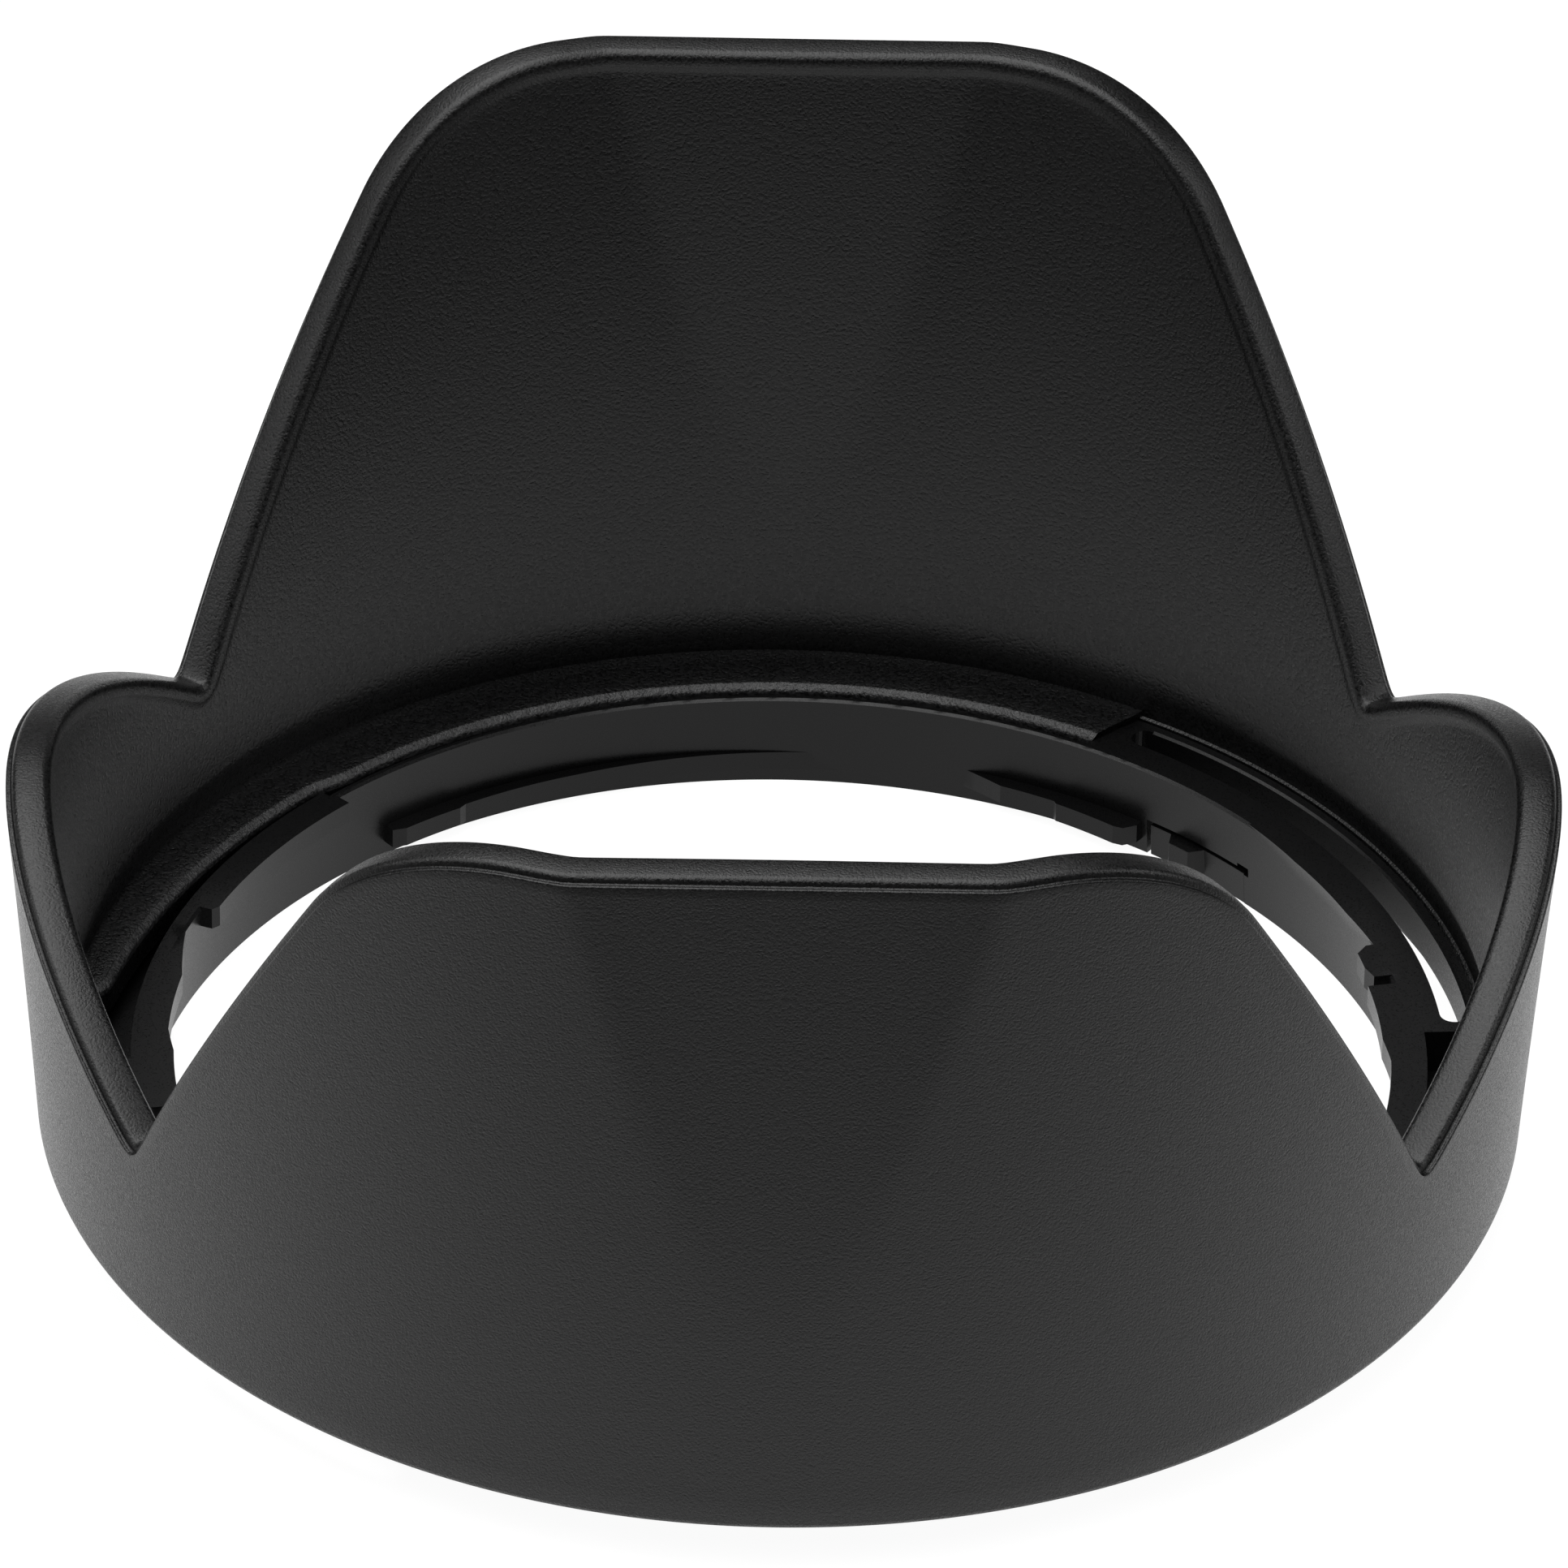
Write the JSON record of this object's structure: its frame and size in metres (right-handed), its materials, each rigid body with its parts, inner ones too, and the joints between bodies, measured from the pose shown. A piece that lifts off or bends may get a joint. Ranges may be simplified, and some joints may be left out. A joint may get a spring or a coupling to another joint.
{
  "type": "lens hood",
  "caption": "Petal-shaped black plastic lens hood with a flared shell, a twist-on bayonet ring in its foot and sprung detent fingers.",
  "frame": {"origin": "on the optical axis, in the plane of the bayonet ring's rear face, which is the lowest face as it stands", "axes": "+Z along the optical axis, from the lens towards the scene; +Y through the middle of one long petal, +X through the middle of one short petal"},
  "size_m": [0.091, 0.092, 0.049],
  "materials": {
    "shell_plastic": "satin black outside, leather-grained matte black inside, polished rim",
    "ring_plastic": "smooth satin black",
    "finger_plastic": "smooth satin black"
  },
  "bodies": {
    "hood": {"petal_shell": "shell_plastic", "bayonet_ring": "ring_plastic"},
    "finger_right": {"detent_finger_right": "finger_plastic"},
    "finger_left": {"detent_finger_left": "finger_plastic"}
  },
  "joints": [
    {"name": "finger_right_flex", "type": "hinge", "parent": "hood", "child": "finger_right", "pos_m": [0.02915, 0.02561, 0.0011], "axis": [0, 0, -1], "range_deg": [0, 8], "stiffness_Nm_per_rad": 0.2},
    {"name": "finger_left_flex", "type": "hinge", "parent": "hood", "child": "finger_left", "pos_m": [-0.02915, -0.02561, 0.0011], "axis": [0, 0, -1], "range_deg": [0, 8], "stiffness_Nm_per_rad": 0.2}
  ]
}
